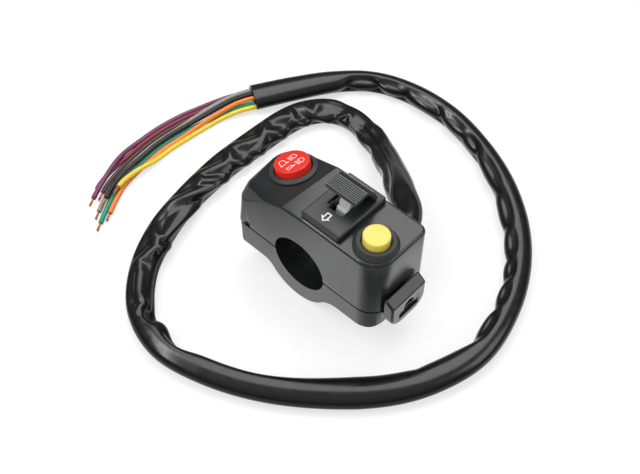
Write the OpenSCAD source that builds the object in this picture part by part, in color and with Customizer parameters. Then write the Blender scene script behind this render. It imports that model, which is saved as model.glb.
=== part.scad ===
// Handlebar switch cluster for a 22 mm bar: lamp push button, turn signal lever and horn button
// in a two-part clamp housing, with a sleeved cable that ends in bare wires.
// Millimetres. The origin is the centre of the bar on the parting plane of the two halves.
// X runs towards the horn end, Y along the bar towards the cable side, Z up.

/* [Handlebar clamp] */
// Diameter of the bore for the bar
bar_d = 22.2; // [21.8:0.1:22.6]
// Wall of the saddle over the bar
saddle_wall = 2.2; // [2:0.1:2.4]
// Radius of the round belly under the bar
belly_r = 14.3; // [14:0.1:14.8]
// Shank diameter of the clamp screws
screw_d = 4.8; // [4.4:0.1:5]
// Distance of the clamp screws from the bar's axis
screw_x = 20.5; // [20:0.1:21]

/* [Housing] */
// Reach of the lamp end from the bar's axis
body_left = 29; // [28.8:0.1:30]
// Reach of the horn end from the bar's axis
body_right = 33.5; // [33.2:0.1:34.5]
// Depth of the housing along the bar
body_depth = 25.2; // [25:0.1:26]
// Height of the flat top over the bar's axis
body_top = 25; // [24.8:0.1:25.4]
// Fall of the lamp end's sloping top, in degrees
slope_deg = 15; // [14:0.5:16]
// Wall thickness of the moulded shell
wall = 2; // [1.8:0.1:2.2]

/* [Lamp button] */
// Diameter of the lamp cap at its foot
lamp_cap_d = 12.6; // [12.2:0.1:12.8]
// Travel of the lamp button
lamp_travel = 2.2; // [1.6:0.1:2.2]

/* [Horn button] */
// Diameter of the horn cap
horn_cap_d = 9.1; // [8.6:0.1:9.2]
// Travel of the horn button
horn_travel = 1.8; // [1.2:0.1:1.8]

/* [Turn lever] */
// Tilt of the lever to either side, in degrees
lever_tilt = 27.5; // [24:0.5:27.5]
// Length of the ribbed knob across the bezel
knob_l = 12.8; // [11:0.1:13.5]
// Ribs on each flank of the knob
rib_count = 8; // [5:1:10]

/* [Cable] */
// Diameter of the PVC sleeve in the gland
sleeve_d = 9.6; // [9:0.1:9.6]
// Width of the sleeve where it lies flattened
sleeve_w = 10.6; // [9.6:0.1:11]
// Height of the sleeve where it lies flattened
sleeve_h = 7.4; // [6.4:0.1:7.4]
// Diameter of one insulated wire
wire_d = 1.9; // [1.5:0.1:1.9]
// Length of the stripped copper at each wire's end
copper_l = 4; // [3:0.5:5]

/* [Hidden] */

$fn = 64;
eps = 0.01;
bar_r = bar_d / 2;
half_d = body_depth / 2;

// Colours of the mouldings and the metal
black_abs = "#2a2b2c";
grey_abs = "#4a4c4c";
brass = "#c9a54a";
steel = "#b9bcc0";
phenolic = "#5d3a22";

// Skin of the upper half: where the slope starts, edge radii and the shoulder of the lamp end
slope_x = -5;
edge_r = 1.2;
crease_r = 1;
shoulder_r = 5;
shoulder_y = -6.6;
front_fall_r = 40;
front_fall_x = 2;
lean = 0.045;
corner_lamp_r = 1.5;
corner_brow_r = 3.5;
corner_tail_r = 8;
corner_horn_r = 8;
corner_cable_r = 3;

// Half-round notch in the front skin for prying the halves apart
pry_notch = [-24.4, 0.9];
pry_r = 1.35;

// Flanges of the lower half, its belly and its step back from the skin
flange_lamp_h = 10.8;
flange_horn_h = 9.2;
belly_at = [-1.3, -4.3];
clamp_step = 0.15;
seam_h = 1;

// Lug on the horn end
lug_w = 16.8;
lug_out = 37.8;
lug_low = -6.2;
lug_high = 7.3;
lug_lip = 5;

// Places of the three switches and of the gland
lamp_at = [-17, 3.4, body_top + (slope_x + 17) * -tan(slope_deg)];
horn_at = [25.45, -3.75, body_top];
turn_at = [8.6, 0, 24.4];
gland_at = [18.5, 0, 5.5];
gland_mouth = 15;
gland_nose = 17;

// Bezel plate and its slot
bezel_w = 16.2;
bezel_l = 23.2;
bezel_h = 2.4;
slot_w = 5.8;
slot_l = 8.4;

// Lever and knob, measured from the pivot
stem_w = 5;
stem_t = 3.8;
pin_r = 1;
knob_foot = 6.6;
knob_top = 10.7;
knob_base_half = 5.7;
knob_ridge_half = 1.25;
rib_depth = 0.5;
track_r = 8.8;

// Floor under the belly, and the sleeve's route: out of the gland, down to the floor and once round
floor_z = belly_at.y - belly_r;
lie_z = floor_z + sleeve_h / 2;
sleeve_route = [
    [18.5, gland_mouth, 5.5], [18.5, gland_nose, 5.5], [18.5, 19, 5.5], [17.3, 23, 5.3],
    [13.4, 28, 4.3], [6.5, 33.5, 1.8], [-1, 40, -2.2], [-9, 46.5, -6.8], [-17, 52.5, -10.8],
    [-24, 57, lie_z + 1], [-32, 60.5, lie_z], [-41.5, 62, lie_z], [-50.5, 59.5, lie_z],
    [-57, 52.5, lie_z], [-60, 42.5, lie_z], [-60.8, 26.5, lie_z], [-61, 8.5, lie_z],
    [-58.5, -12.5, lie_z], [-54, -28.5, lie_z], [-46, -43.5, lie_z], [-34, -55, lie_z],
    [-18.5, -60, lie_z], [-2.5, -57.5, lie_z], [15.5, -50, lie_z], [32.5, -38, lie_z],
    [48, -22.5, lie_z], [57, -7, lie_z], [61, 10.5, lie_z], [57.5, 30.5, lie_z], [49, 48.5, lie_z],
    [37, 63, lie_z], [21.5, 75.5, lie_z], [3.5, 84.5, lie_z], [-15.5, 89.5, lie_z], [-34.5, 89, lie_z],
    [-50, 83.5, lie_z], [-62, 72, lie_z], [-71, 58.5, lie_z], [-79.5, 43.5, lie_z]
];
// Stations between which the sleeve goes from round to flat
flat_from = 3;
flat_by = 9;

// Middle line of the fan of wires from the sleeve's cut end
fan_route = [
    [-79.5, 43.5], [-84, 35.5], [-87.5, 25.5], [-90, 14], [-91, 2], [-90, -9], [-87, -20],
    [-82.5, -30], [-76.5, -40]
];
// Wires that lie beside or over each other are this far apart
pack_pitch = wire_d + 0.08;
// Each wire: colour, place in its row inside the sleeve, lower or upper row, lane across the fan,
// lane and lower or upper place at its end, stations it reaches
wires = [
    ["#6f2a5e", -2.1, 0, -3.5, -2.7, 1, 7.2], ["#9c2336", -0.7, 0, -2.5, -3.5, 0, 6.7],
    ["#6b4030", 0.7, 0, -1.5, -1.95, 0, 6.8], ["#8b8f92", -2.1, 1, -0.5, -0.95, 0, 7.5],
    ["#1d1d1f", -0.7, 1, 0.5, -0.3, 1, 7.1], ["#1f8f77", 2.1, 0, 1.5, 0.3, 0, 8],
    ["#f08a2c", 0.7, 1, 2.5, 1.3, 0, 7.5], ["#f4c929", 2.1, 1, 3.8, 0.85, 1, 6.5]
];

function unit(v) = v / norm(v);

// Point between p1 and p2 of a smooth curve through four points
function blend(p0, p1, p2, p3, t) =
    0.5 * (2 * p1 + (p2 - p0) * t + (2 * p0 - 5 * p1 + 4 * p2 - p3) * t * t
    + (3 * p1 - p0 - 3 * p2 + p3) * t * t * t);

// Point of a route at station s, where whole stations are the listed points
function along(p, s) =
    let (last = len(p) - 1, i = min(floor(s), last - 1))
    blend(p[max(i - 1, 0)], p[i], p[i + 1], p[min(i + 2, last)], s - i);

// Route with steps between its listed points
function smooth(p, steps) = [for (k = [0 : (len(p) - 1) * steps]) along(p, k / steps)];

function heading(p, i) = unit(p[min(i + 1, len(p) - 1)] - p[max(i - 1, 0)]);

// Share of a change that starts at 0 and is over at 1
function ease(t) = let (k = min(max(t, 0), 1)) k * k * (3 - 2 * k);

// Ring of a tube round the point c, square to the heading t, with its half width and half height
function ring(c, t, half, sides) =
    let (side = unit(cross(t, [0, 0, 1])), lift = cross(side, t))
    [for (k = [0 : sides - 1]) let (a = 360 * k / sides) c + half.x * cos(a) * side + half.y * sin(a) * lift];

// Closed tube along a path: one radius, or a half width and half height for each ring
module tube(path, girth, sides) {
    last = len(path) - 1;
    points = [for (i = [0 : last])
        each ring(path[i], heading(path, i), is_list(girth) ? girth[i] : [girth, girth], sides)];
    skin = [for (i = [0 : last - 1], k = [0 : sides - 1], half = [0, 1])
        let (a = i * sides + k, b = i * sides + (k + 1) % sides, c = b + sides, d = a + sides)
        half == 0 ? [a, b, c] : [a, c, d]];
    near_end = [for (k = [1 : sides - 2]) [0, k + 1, k]];
    far_end = [for (k = [1 : sides - 2]) [last * sides, last * sides + k, last * sides + k + 1]];
    polyhedron(points, concat(near_end, skin, far_end), convexity = 10);
}

// Compression spring standing on z = 0
module coil_spring(mean_r, wire_r, length, turns) {
    steps = 8 * turns;
    path = [for (k = [0 : steps])
        [mean_r * cos(45 * k), mean_r * sin(45 * k), wire_r + (length - 2 * wire_r) * k / steps]];
    tube(path, wire_r, 6);
}

// Moves a piece of the lamp switch from its own axis to the slope
module on_slope() {
    translate(lamp_at) rotate([0, -slope_deg, 0]) children();
}

// Moves a piece of the lever from its own upright axis to the photographed tilt
module on_lever() {
    translate(turn_at) rotate([-lever_tilt, 0, 0]) children();
}

// Height of a ball's centre that lies a given depth under the slope
function under_slope(x, depth) = body_top + (sin(slope_deg) * (x - slope_x) - depth) / cos(slope_deg);

// Height of the front edge, which falls away on an arc towards the lamp end
function front_edge(x) =
    body_top - front_fall_r + sqrt(pow(front_fall_r, 2) - pow(min(x - front_fall_x, 0), 2));

// Convex skin of the upper half, stepped in all over by inset
module upper_form(inset, foot) {
    function small(r) = max(r - inset, 0.5);
    function left(z) = -body_left + lean * z + inset;
    right = body_right - inset;
    side = half_d - inset;
    edge = small(edge_r);
    crease = small(crease_r);
    shoulder = small(shoulder_r);
    brow = small(corner_brow_r);
    tail = small(corner_tail_r);
    horn = small(corner_horn_r);
    cable = small(corner_cable_r);
    lamp = small(corner_lamp_r);
    brow_z = front_edge(-body_left + corner_brow_r) - inset - crease;
    tail_x = left(18) + tail;
    hull($fn = 32) {
        translate([left(0) + lamp, -side + lamp, foot]) cylinder(r = lamp, h = 1);
        translate([left(0) + tail, side - tail, foot]) cylinder(r = tail, h = 1);
        translate([right - horn, -side + horn, foot]) cylinder(r = horn, h = 1);
        translate([right - cable, side - cable, foot]) cylinder(r = cable, h = 1);
        translate([right - horn, -side + horn, body_top - inset - edge])
            rotate_extrude() translate([horn - edge, 0]) circle(edge);
        translate([right - cable, side - cable, body_top - inset - edge])
            rotate_extrude() translate([max(cable - edge, edge), 0]) circle(edge);
        translate([slope_x + (inset + edge) * tan(slope_deg / 2), side - edge, body_top - inset - edge])
            sphere(edge);
        translate([tail_x, side - tail, under_slope(tail_x, inset + edge)])
            rotate([0, -slope_deg, 0]) rotate_extrude() translate([tail - edge, 0]) circle(edge);
        translate([left(18) + shoulder, shoulder_y, under_slope(left(18) + shoulder, inset + shoulder)])
            sphere(shoulder);
        translate([left(brow_z) + brow, -side + brow, brow_z])
            rotate_extrude() translate([max(brow - crease, crease), 0]) circle(crease);
        for (x = [front_fall_x : -9 : -body_left + 8])
            translate([x, -side + crease, front_edge(x) - inset - crease]) sphere(crease);
    }
}

// Rectangle with its own radius at each corner, for plan outlines
module plan_outline(inset) {
    left = -body_left + inset;
    right = body_right - inset;
    side = half_d - inset;
    corners = [
        [left, -side, corner_lamp_r, 1, 1], [left, side, corner_tail_r, 1, -1],
        [right, -side, corner_horn_r, -1, 1], [right, side, corner_cable_r, -1, -1]
    ];
    difference() {
        translate([left, -side]) square([right - left, 2 * side]);
        for (c = corners)
            translate([c[0] - (c[3] < 0 ? c[2] : 0), c[1] - (c[4] < 0 ? c[2] : 0)]) square(c[2]);
    }
    for (c = corners) translate([c[0] + c[3] * c[2], c[1] + c[4] * c[2]]) circle(c[2]);
}

// Moulded upper half: skin, hollow, saddle over the bar, screw bosses and the openings of the switches
module upper_housing() {
    boss_r = 4.2;
    boss_h = 9;
    color(black_abs) difference() {
        union() {
            difference() {
                upper_form(0, 0);
                upper_form(wall, -2);
            }
            rotate([90, 0, 0]) cylinder(r = bar_r + saddle_wall, h = body_depth - wall, center = true);
            for (s = [-1, 1]) {
                translate([s * screw_x, 0, 0]) cylinder(r = boss_r, h = boss_h);
                translate([s * screw_x - 8, -1, 0]) cube([14, 2, boss_h - 1]);
            }
        }
        translate([-60, -40, -40]) cube([120, 80, 40]);
        rotate([90, 0, 0]) cylinder(r = bar_r, h = 60, center = true);
        for (s = [-1, 1]) translate([s * screw_x, 0, -1]) cylinder(d = screw_d + 0.2, h = boss_h);
        on_slope() translate([0, 0, -4.2]) cylinder(r = lamp_cap_d / 2 + 1.05, h = 8);
        translate(horn_at - [0, 0, 5]) cylinder(r = horn_cap_d / 2 + 0.95, h = 8);
        translate([turn_at.x - 4.7, -6.2, body_top - 6]) cube([9.4, 12.4, 8]);
        translate([gland_at.x, half_d + 4, gland_at.z]) rotate([90, 0, 0]) cylinder(r = 5, h = 9);
        translate([pry_notch.x, -half_d, pry_notch.y]) rotate([90, 0, 0])
            cylinder(r = pry_r, h = 1.2, center = true);
    }
}

// Hollow fillet between the foot of a flange and the belly, drawn in the XZ plane
module flange_fillet(side, flange_h, r) {
    c = [belly_at.x + side * sqrt(pow(belly_r + r, 2) - pow(-flange_h - r - belly_at.y, 2)), -flange_h - r];
    touch = belly_at - c;
    turn = atan2(touch.y, abs(touch.x));
    steps = 10;
    polygon(concat(
        [for (k = [0 : steps]) let (a = 90 + (turn - 90) * k / steps) c + r * [-side * cos(a), sin(a)]],
        [belly_at, [c.x, belly_at.y]]
    ));
}

// Side view of the lower half: two flanges, the belly and the fillets between them
module lower_profile() {
    foot_r = 2;
    foot_x = -body_left + clamp_step + 1.9;
    heel_r = 4;
    heel_x = body_right - clamp_step - 3.8;
    difference() {
        union() {
            translate([-body_left - 1, -flange_lamp_h + foot_r]) square([body_left + 1, flange_lamp_h]);
            translate([foot_x, -flange_lamp_h]) square([-foot_x, flange_lamp_h]);
            translate([foot_x, -flange_lamp_h + foot_r]) circle(foot_r);
            translate([0, -flange_horn_h]) square([heel_x, flange_horn_h]);
            translate([0, -flange_horn_h + heel_r]) square([body_right + 1, flange_horn_h]);
            translate([heel_x, -flange_horn_h + heel_r]) circle(heel_r);
            translate(belly_at) circle(belly_r);
            flange_fillet(-1, flange_lamp_h, 6);
            flange_fillet(1, flange_horn_h, 10);
        }
        translate([-60, 0]) square([120, 60]);
    }
}

// Lug on the horn end: rounded block with a sloping top, keyhole outlet with two ribs, neck to the clamp
module end_lug() {
    low_r = 5.5;
    edge = 0.9;
    hole_w = 9.6;
    hole_depth = 2.6;
    lug_in = body_right + 0.7;
    low_y = lug_w / 2 - low_r;
    top_y = lug_w / 2 - edge;
    translate([body_right - 2, -4, -5]) cube([4, 11, 5 - seam_h]);
    difference() {
        hull($fn = 32) for (s = [-1, 1]) {
            translate([lug_in, s * low_y, lug_low + low_r]) rotate([0, 90, 0]) cylinder(r = low_r, h = 1);
            translate([lug_out - edge, s * low_y, lug_low + low_r]) rotate([0, 90, 0])
                rotate_extrude() translate([low_r - edge, 0]) circle(edge);
            translate([lug_in, s * top_y, lug_high - edge]) rotate([0, 90, 0])
                cylinder(r = edge, h = edge / 2);
            translate([lug_out - edge, s * top_y, lug_lip - edge / 2]) sphere(edge);
        }
        difference() {
            translate([lug_out - hole_depth, 0, 0]) rotate([90, 0, 90]) linear_extrude(height = 10) {
                translate([-hole_w / 2, -3.4]) square([hole_w, 3.2]);
                translate([-2.5, -1]) square([5, 1.8]);
                translate([0, 0.8]) circle(2.5);
            }
            for (z = [-2.7, -1.4])
                translate([lug_out - hole_depth - 1, -hole_w / 2 + 0.6, z])
                    cube([hole_depth + 0.2, hole_w - 1.2, 0.5]);
        }
    }
}

// Moulded lower half: clamp under the bar with cored flanges, counterbored screw holes and the lug
module lower_clamp() {
    head_r = 4.7;
    color(black_abs) difference() {
        union() {
            difference() {
                intersection() {
                    rotate([90, 0, 0]) linear_extrude(height = body_depth, center = true) lower_profile();
                    translate([0, 0, floor_z - 1]) linear_extrude(height = 40) plan_outline(clamp_step);
                }
                translate([0, 0, -seam_h]) linear_extrude(height = 2) difference() {
                    square([200, 100], center = true);
                    plan_outline(clamp_step + 0.7);
                }
                translate([-body_left + 2.6, -half_d + 2.6, -flange_lamp_h + 2.2])
                    cube([11, body_depth - 5.2, 20]);
                translate([15.2, -half_d + 4.6, -flange_horn_h + 2.2])
                    cube([13.4, body_depth - 7.2, 20]);
            }
            for (s = [-1, 1]) translate([s * screw_x, 0, -7.4]) cylinder(r = head_r + 0.8, h = 7.4);
            end_lug();
        }
        rotate([90, 0, 0]) cylinder(r = bar_r, h = 60, center = true);
        for (s = [-1, 1]) translate([s * screw_x, 0, -20]) {
            cylinder(d = screw_d + 0.6, h = 30);
            cylinder(r = head_r, h = 14);
        }
    }
}

// Pair of pan head screws that draw the halves together from below
module clamp_screws() {
    head_h = 3;
    color(steel) for (s = [-1, 1]) translate([s * screw_x, 0, -6]) difference() {
        union() {
            cylinder(d = screw_d, h = 13.5);
            translate([0, 0, -head_h]) cylinder(r1 = 3.6, r2 = 4.4, h = 1);
            translate([0, 0, -head_h + 1]) cylinder(r = 4.4, h = head_h - 1);
        }
        for (a = [0, 90]) rotate([0, 0, a]) translate([-2.4, -0.5, -head_h - 1]) cube([4.8, 1, 2.6]);
    }
}

// Bush of a push button: sloping ring on the skin, neck through the wall and a floor with the plunger's hole
module button_collar(flange_r, ring_r, ring_h, bore_r, neck_r, depth, guide_r) {
    color(grey_abs) rotate_extrude() polygon([
        [guide_r, -depth], [neck_r, -depth], [neck_r, 0], [flange_r, 0], [flange_r, 0.5],
        [ring_r, ring_h], [bore_r + 0.3, ring_h], [bore_r, ring_h - 0.3],
        [bore_r, -depth + 1], [guide_r, -depth + 1]
    ]);
}

// Hollow push button cap with a bevelled rim, a slight dome and a socket for its plunger
module button_cap(foot_r, top_r, foot, top, dome, bevel, skin, socket_r, socket_depth) {
    crown = top_r - bevel;
    steps = 6;
    difference() {
        rotate_extrude() polygon(concat(
            [[0, foot], [foot_r, foot], [top_r, top - bevel]],
            [for (k = [0 : steps]) [crown * (1 - k / steps), top + dome * (1 - pow(1 - k / steps, 2))]]
        ));
        difference() {
            translate([0, 0, foot - 1]) cylinder(r = top_r - skin, h = top - foot - skin + 1);
            translate([0, 0, foot - 2]) cylinder(r = socket_r + 0.9, h = top - foot + 3);
        }
        translate([0, 0, foot - 1]) cylinder(r = socket_r, h = socket_depth + 1);
    }
}

// Plunger of a push button: shank, shoulder that carries the bridge, and a tail that guides the spring
module button_plunger(shank_r, top, shoulder, shoulder_r, tail_r, tail) {
    translate([0, 0, -shoulder]) cylinder(r = shank_r, h = shoulder + top);
    translate([0, 0, -shoulder]) cylinder(r = shoulder_r, h = 0.8);
    translate([0, 0, -tail]) cylinder(r = tail_r, h = tail - shoulder + eps);
}

// Insulating can under a collar that holds the fixed contacts
module switch_can(r, wall_t, top, bottom, post_x) {
    color(phenolic) difference() {
        translate([0, 0, -bottom]) cylinder(r = r, h = bottom - top);
        translate([0, 0, -bottom + 1.6]) cylinder(r = r - wall_t, h = bottom);
        for (s = [-1, 1]) translate([s * post_x, 0, -bottom - 1]) cylinder(r = 0.85, h = 4);
    }
}

// Pair of rivets with flat heads inside the can and solder tails below it
module rivet_contacts(post_x, head, bottom) {
    color(brass) for (s = [-1, 1]) translate([s * post_x, 0, 0]) {
        translate([0, 0, -bottom - 2]) cylinder(r = 0.8, h = bottom + 2 - head);
        translate([0, 0, -head - 0.6]) cylinder(r = 1.2, h = 0.6);
    }
}

// Bridge disc that closes the fixed contacts
module contact_bridge(r, hole_r, top) {
    color(brass) translate([0, 0, -top - 0.5]) difference() {
        cylinder(r = r, h = 0.5);
        translate([0, 0, -1]) cylinder(r = hole_r, h = 3);
    }
}

lamp_r = lamp_cap_d / 2;
lamp_rest = 6.2;
lamp_can = 11.4;
module lamp_collar() { on_slope() button_collar(8.45, 7.1, 1.2, lamp_r + 0.3, lamp_r + 1, 3.2, 2.5); }
module lamp_cap() {
    color("#e23a30") on_slope() button_cap(lamp_r, lamp_r - 0.2, 0.3, 3.5, 0.25, 0.35, 1.3, 2.45, 1.9);
}
module lamp_plunger() { color("#d8d8d2") on_slope() button_plunger(2.4, 2.1, lamp_rest, 3, 1.1, 7.5); }
module lamp_bridge() { on_slope() contact_bridge(4.4, 1.15, lamp_rest); }
module lamp_spring() {
    color(steel) on_slope() translate([0, 0, -lamp_can + 1.6])
        coil_spring(1.75, 0.25, lamp_can - 2.1 - lamp_rest, 3);
}
module lamp_base() { on_slope() rotate([0, 0, 90]) switch_can(6.4, 1, 3.2, lamp_can, 3.4); }
module lamp_contacts() {
    on_slope() rotate([0, 0, 90]) rivet_contacts(3.4, lamp_rest + 0.5 + lamp_travel + 0.1, lamp_can);
}

horn_r = horn_cap_d / 2;
horn_rest = 6.6;
horn_can = 11.6;
module at_horn() { translate(horn_at) children(); }
module horn_collar() { at_horn() button_collar(7.5, 6.4, 2.4, horn_r + 0.3, horn_r + 0.9, 4, 1.9); }
module horn_cap() {
    color("#f5d453") at_horn() button_cap(horn_r, horn_r - 0.1, 0.4, 5, 0.3, 0.4, 1.2, 1.85, 2.1);
}
module horn_plunger() { color("#d8d8d2") at_horn() button_plunger(1.8, 2.4, horn_rest, 2.6, 0.9, 8); }
module horn_bridge() { at_horn() contact_bridge(3.6, 0.95, horn_rest); }
module horn_spring() {
    color(steel) at_horn() translate([0, 0, -horn_can + 1.6])
        coil_spring(1.25, 0.2, horn_can - 2.1 - horn_rest, 3);
}
module horn_base() { at_horn() switch_can(5.2, 0.9, 4, horn_can, 2.7); }
module horn_contacts() { at_horn() rivet_contacts(2.7, horn_rest + 0.5 + horn_travel + 0.1, horn_can); }

// Raised bezel of the turn switch: bevelled plate, slot, side pocket with a stop, and two cheeks for the pin
module turn_bezel() {
    bevel = 0.8;
    cheek_t = 1.4;
    pocket_w = 1.7;
    color(black_abs) difference() {
        union() {
            translate([turn_at.x - bezel_w / 2, 0, body_top]) rotate([90, 0, 90])
                linear_extrude(height = bezel_w) polygon([
                    [-bezel_l / 2, 0], [bezel_l / 2, 0], [bezel_l / 2, bezel_h - bevel / 2],
                    [bezel_l / 2 - bevel / 2, bezel_h], [-bezel_l / 2 + bevel, bezel_h],
                    [-bezel_l / 2, bezel_h - bevel]
                ]);
            for (s = [-1, 1])
                translate([turn_at.x + s * (slot_w + cheek_t) / 2 - cheek_t / 2, -5.2, turn_at.z - 3])
                    cube([cheek_t, 10.4, body_top - turn_at.z + 3 + eps]);
        }
        translate([turn_at.x - slot_w / 2, -slot_l / 2, body_top - 1]) cube([slot_w, slot_l, 5]);
        difference() {
            translate([turn_at.x - slot_w / 2 - pocket_w, -3, body_top + bezel_h - 1.2])
                cube([pocket_w + 1, 6, 5]);
            translate([turn_at.x - slot_w / 2 - 1.3, -2.7, body_top]) cube([0.9, 1.8, bezel_h - 0.2]);
        }
        translate(turn_at) rotate([0, 90, 0])
            cylinder(r = pin_r, h = slot_w + 2 * cheek_t + 0.4, center = true);
    }
}

// Roof of the knob with its ribs: outline from one foot over the ridge to the other
function flank(side) =
    let (foot = [knob_base_half, knob_foot + 0.9], ridge = [knob_ridge_half, knob_top],
        run = ridge - foot, out = unit([-run.y, run.x]) * -rib_depth)
    [for (k = [0 : rib_count - 1], p = [[0, 1], [0.45, 1], [0.52, 0], [0.93, 0]])
        let (q = foot + run * (k + p[0]) / rib_count + out * p[1]) [side * q.x, q.y]];

// Ribbed thumb knob with hollow ends and a socket for the stem
module lever_knob() {
    hollow = 3.6;
    color(black_abs) on_lever() difference() {
        rotate([90, 0, 90]) linear_extrude(height = knob_l, center = true)
            polygon(concat(
                [[-knob_base_half, knob_foot], [knob_base_half, knob_foot]], flank(1),
                [[knob_ridge_half, knob_top], [-knob_ridge_half, knob_top]],
                [for (i = [4 * rib_count - 1 : -1 : 0]) flank(-1)[i]]
            ));
        for (s = [-1, 1]) translate([s * (knob_l / 2 - hollow / 2 + eps), 0, 0])
            rotate([90, 0, 90]) linear_extrude(height = hollow, center = true)
                polygon([
                    [-4.7, knob_foot - 1], [4.7, knob_foot - 1], [4.7, knob_foot + 0.5],
                    [0.9, knob_top - 1.1], [-0.9, knob_top - 1.1], [-4.7, knob_foot + 0.5]
                ]);
        translate([-1.6, -1.3, knob_foot - 1]) cube([3.2, 2.6, 3]);
    }
}

// Lever stem: flat upper arm with a tenon, slim foot on a hub, and a lower arm bored for the detent
module lever_stem() {
    arm = 6.2;
    shoulder = 2.2;
    relief = 0.7;
    near = -stem_w / 2 + relief;
    upper_w = stem_w - relief;
    color("#9a9c9c") on_lever() difference() {
        union() {
            translate([near, -stem_t / 2, shoulder]) cube([upper_w, stem_t, knob_foot - shoulder]);
            translate([near, -1.2, 0]) cube([upper_w, 2.4, shoulder + eps]);
            translate([-1.55, -1.25, knob_foot - eps]) cube([3.1, 2.5, 1.9]);
            translate([near, 0, 0]) rotate([0, 90, 0]) cylinder(r = 2, h = upper_w);
            translate([-stem_w / 2, -stem_t / 2, -arm]) cube([stem_w, stem_t, arm - 1.2]);
        }
        rotate([0, 90, 0]) cylinder(r = pin_r + 0.05, h = 20, center = true);
        translate([0, 0, -arm - 1]) cylinder(r = 1.3, h = 4.4);
    }
}

// Steel pivot pin pressed into the bezel's cheeks
module lever_pin() {
    color(steel) translate(turn_at) rotate([0, 90, 0]) cylinder(r = pin_r, h = slot_w + 2.8, center = true);
}

// Detent spring and ball in the lower arm
module detent_spring() {
    color(steel) on_lever() translate([0, 0, -6.2]) coil_spring(0.9, 0.18, 3.2, 3);
}
module detent_ball() {
    color(steel) on_lever() translate([0, 0, -7.35]) sphere(1.15);
}

// Wiper strips either side of the detent
module turn_wiper() {
    color(brass) on_lever() for (s = [-1, 1])
        translate([s * (stem_w / 2 + 0.125) - 0.125, -1.2, -8.4]) cube([0.25, 2.4, 5.6]);
}

// Insulating base of the turn switch with a round track, three detent hollows and a foot on the saddle
module turn_base() {
    half_w = 4.2;
    color(phenolic) difference() {
        translate([turn_at.x - half_w, -6.4, 11]) cube([2 * half_w, 12.8, 10.2]);
        translate(turn_at) rotate([0, 90, 0]) cylinder(r = track_r, h = 30, center = true);
        for (a = [-1, 0, 1]) translate(turn_at) rotate([a * lever_tilt, 0, 0])
            translate([0, 0, -7.5]) sphere(1.5);
        rotate([90, 0, 0]) cylinder(r = bar_r + saddle_wall, h = 60, center = true);
        for (a = [-1, 0, 1]) translate(turn_at) rotate([a * lever_tilt, 0, 0])
            for (s = [-1, 1]) translate([s * 2.9 - 0.45, -0.65, -12.4]) cube([0.9, 1.3, 6]);
    }
}

// Fixed contact blades of the turn switch, set in the base under the wiper's path
module turn_contacts() {
    color(brass) for (a = [-1, 0, 1], s = [-1, 1])
        translate(turn_at) rotate([a * lever_tilt, 0, 0])
            translate([s * 2.9 - 0.4, -0.6, -12.2]) cube([0.8, 1.2, 3.3]);
}

// Rubber gland in the back wall: inner bead, groove in the wall, tapered nose and a mouth for the sleeve
module cable_gland() {
    back = half_d;
    color("#232324") translate([gland_at.x, 0, gland_at.z]) rotate([-90, 0, 0]) rotate_extrude() polygon([
        [3.4, back - wall - 1.8], [5.2, back - wall - 1.8], [5.4, back - wall - 0.1],
        [4.9, back - wall - 0.1], [4.9, back + 0.1], [6.5, back + 0.1], [6.4, back + 1.4], [5.6, gland_nose],
        [sleeve_d / 2 + 0.1, gland_nose], [sleeve_d / 2 + 0.1, gland_mouth], [3.4, gland_mouth]
    ]);
}

// Short leads inside the housing, from each switch to the gland
lead_r = 1;
lamp_leads = [
    [-13.5, 6.8, 7.6], [-11.3, 8.9, 9.3], [-8.5, 9.2, 12.6], [-4, 9.2, 15.6], [2, 9.2, 17.2],
    [8.5, 8.6, 16.4], [13.4, 7.2, 12.4], [16.2, 6.4, 9], [17.2, 7.6, 7.2], [17.2, 9.2, 7.1], [17.2, 11, 7.1]
];
horn_leads = [
    [22.8, -3.7, 10.3], [23.5, 0, 10.5], [23.4, 3.8, 10.3], [21.8, 6.2, 7.8], [20.4, 7.8, 6.3],
    [20.3, 9.2, 6.2], [20.3, 11, 6.2]
];
turn_leads = [
    [13.1, 3, 14], [15.2, 4.2, 12.8], [16.9, 5.8, 8.6], [17.9, 6.8, 4.8], [18.2, 8, 3.8],
    [18.2, 9.4, 3.6], [18.2, 11, 3.6]
];
module inner_leads() {
    color("#1d1d1f") for (lead = [lamp_leads, horn_leads, turn_leads]) tube(smooth(lead, 2), lead_r, 8);
}

// PVC sleeve: round in the gland, then flattened by its own slackness
module cable_sleeve() {
    steps = 2;
    girth = [for (k = [0 : (len(sleeve_route) - 1) * steps])
        let (flat = ease((k / steps - flat_from) / (flat_by - flat_from)))
        [sleeve_d + (sleeve_w - sleeve_d) * flat, sleeve_d + (sleeve_h - sleeve_d) * flat] / 2];
    color("#161617") tube(smooth(sleeve_route, steps), girth, 12);
}

// Route of one wire: out of its row, spread to its lane and drawn together at the end, while it passes
// from its row in the sleeve to its lower or upper place
function fan_across(s) =
    let (a = along(fan_route, max(s - 0.02, 0)), b = along(fan_route, min(s + 0.02, len(fan_route) - 1)),
        t = unit(b - a))
    [-t.y, t.x];
function wire_point(w, s) =
    let (spread = ease(s / 3.2), settle = ease((s - 2) / 2.6), gather = ease((s - 3.4) / 3.2),
        lane = (w[1] * (1 - spread) + w[3] * spread) * (1 - gather) + w[4] * gather,
        c = along(fan_route, s) + fan_across(s) * lane * pack_pitch,
        sleeve_floor = (sleeve_h - pack_pitch - wire_d) / 2 * (1 - ease(s / 2.4)),
        place = w[2] * (1 - settle) + w[5] * settle)
    [c.x, c.y, floor_z + wire_d / 2 + sleeve_floor + place * pack_pitch];
function wire_route(w) =
    [for (s = concat([0, 0.1], [for (k = [0.5 : 0.5 : w[6] - 0.25]) k], [w[6]])) wire_point(w, s)];

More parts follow.
